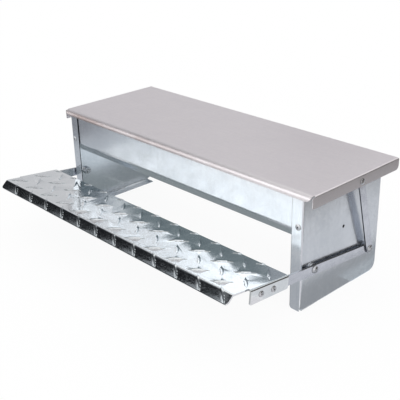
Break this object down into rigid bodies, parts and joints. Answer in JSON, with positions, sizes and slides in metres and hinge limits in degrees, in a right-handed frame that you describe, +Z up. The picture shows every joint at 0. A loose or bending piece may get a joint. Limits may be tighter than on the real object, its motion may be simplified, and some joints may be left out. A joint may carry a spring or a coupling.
{
  "type": "treadle chicken feeder",
  "caption": "Covered poultry feed trough on folded side plates, with a diamond tread treadle whose arms and links lift the hinged lid.",
  "frame": {"origin": "middle of the footprint of the whole outline, on the ground", "axes": "+X along the trough, +Y from the treadle to the hinge, +Z up"},
  "size_m": [0.5096, 0.313, 0.1635],
  "materials": {
    "galvanised_sheet": "bright galvanised sheet, soft reflections",
    "galvanised_lid_sheet": "dull warm grey galvanised sheet",
    "aluminium_tread_plate": "bright rolled tread plate",
    "zinc_plated_bar": "bright zinc plated flat bar",
    "zinc_plated_fastener": "bright zinc plated",
    "aluminium_rivet": "plain blind rivet",
    "hinge_steel": "zinc plated"
  },
  "bodies": {
    "housing": {"left_cheek": "galvanised_sheet", "right_cheek": "galvanised_sheet", "trough": "galvanised_sheet", "hinge_body_leaf": "hinge_steel", "hinge_pin": "hinge_steel", "hinge_rivet_1": "aluminium_rivet", "hinge_rivet_2": "aluminium_rivet", "hinge_rivet_3": "aluminium_rivet", "hinge_rivet_4": "aluminium_rivet", "hinge_rivet_5": "aluminium_rivet", "left_pivot_bolt": "zinc_plated_fastener", "left_pivot_spacer": "zinc_plated_fastener", "left_pivot_washer": "zinc_plated_fastener", "left_pivot_nut": "zinc_plated_fastener", "left_front_column_rivet": "aluminium_rivet", "left_rear_column_rivet": "aluminium_rivet", "right_pivot_bolt": "zinc_plated_fastener", "right_pivot_spacer": "zinc_plated_fastener", "right_pivot_washer": "zinc_plated_fastener", "right_pivot_nut": "zinc_plated_fastener", "right_front_column_rivet": "aluminium_rivet", "right_rear_column_rivet": "aluminium_rivet"},
    "lid": {"lid": "galvanised_lid_sheet", "hinge_lid_leaf": "hinge_steel", "left_lid_rivet": "aluminium_rivet", "right_lid_rivet": "aluminium_rivet"},
    "treadle": {"treadle_plate": "aluminium_tread_plate", "left_arm": "zinc_plated_bar", "left_treadle_rivet_1": "aluminium_rivet", "left_treadle_rivet_2": "aluminium_rivet", "left_link_rivet": "aluminium_rivet", "right_arm": "zinc_plated_bar", "right_treadle_rivet_1": "aluminium_rivet", "right_treadle_rivet_2": "aluminium_rivet", "right_link_rivet": "aluminium_rivet"},
    "left_link": {"left_link": "zinc_plated_bar"},
    "right_link": {"right_link": "zinc_plated_bar"}
  },
  "joints": [
    {"name": "lid_hinge", "type": "hinge", "parent": "housing", "child": "lid", "pos_m": [0, 0.14083, 0.1596], "axis": [-1, 0, 0], "range_deg": [0, 46.5]},
    {"name": "treadle_hinge", "type": "hinge", "parent": "housing", "child": "treadle", "pos_m": [0, -0.00197, 0.0569], "axis": [1, 0, 0], "range_deg": [0, 22]},
    {"name": "left_link_hinge", "type": "hinge", "parent": "treadle", "child": "left_link", "pos_m": [-0.2468, 0.11233, 0.04408], "axis": [-1, 0, 0], "range_deg": [0, 32]},
    {"name": "right_link_hinge", "type": "hinge", "parent": "treadle", "child": "right_link", "pos_m": [0.2468, 0.11233, 0.04408], "axis": [-1, 0, 0], "range_deg": [0, 32]}
  ],
  "couplings": [
    {"joint": "treadle_hinge", "follows": "lid_hinge", "ratio": 0.47244},
    {"joint": "left_link_hinge", "follows": "lid_hinge", "ratio": 0.68196},
    {"joint": "right_link_hinge", "follows": "lid_hinge", "ratio": 0.68196}
  ]
}
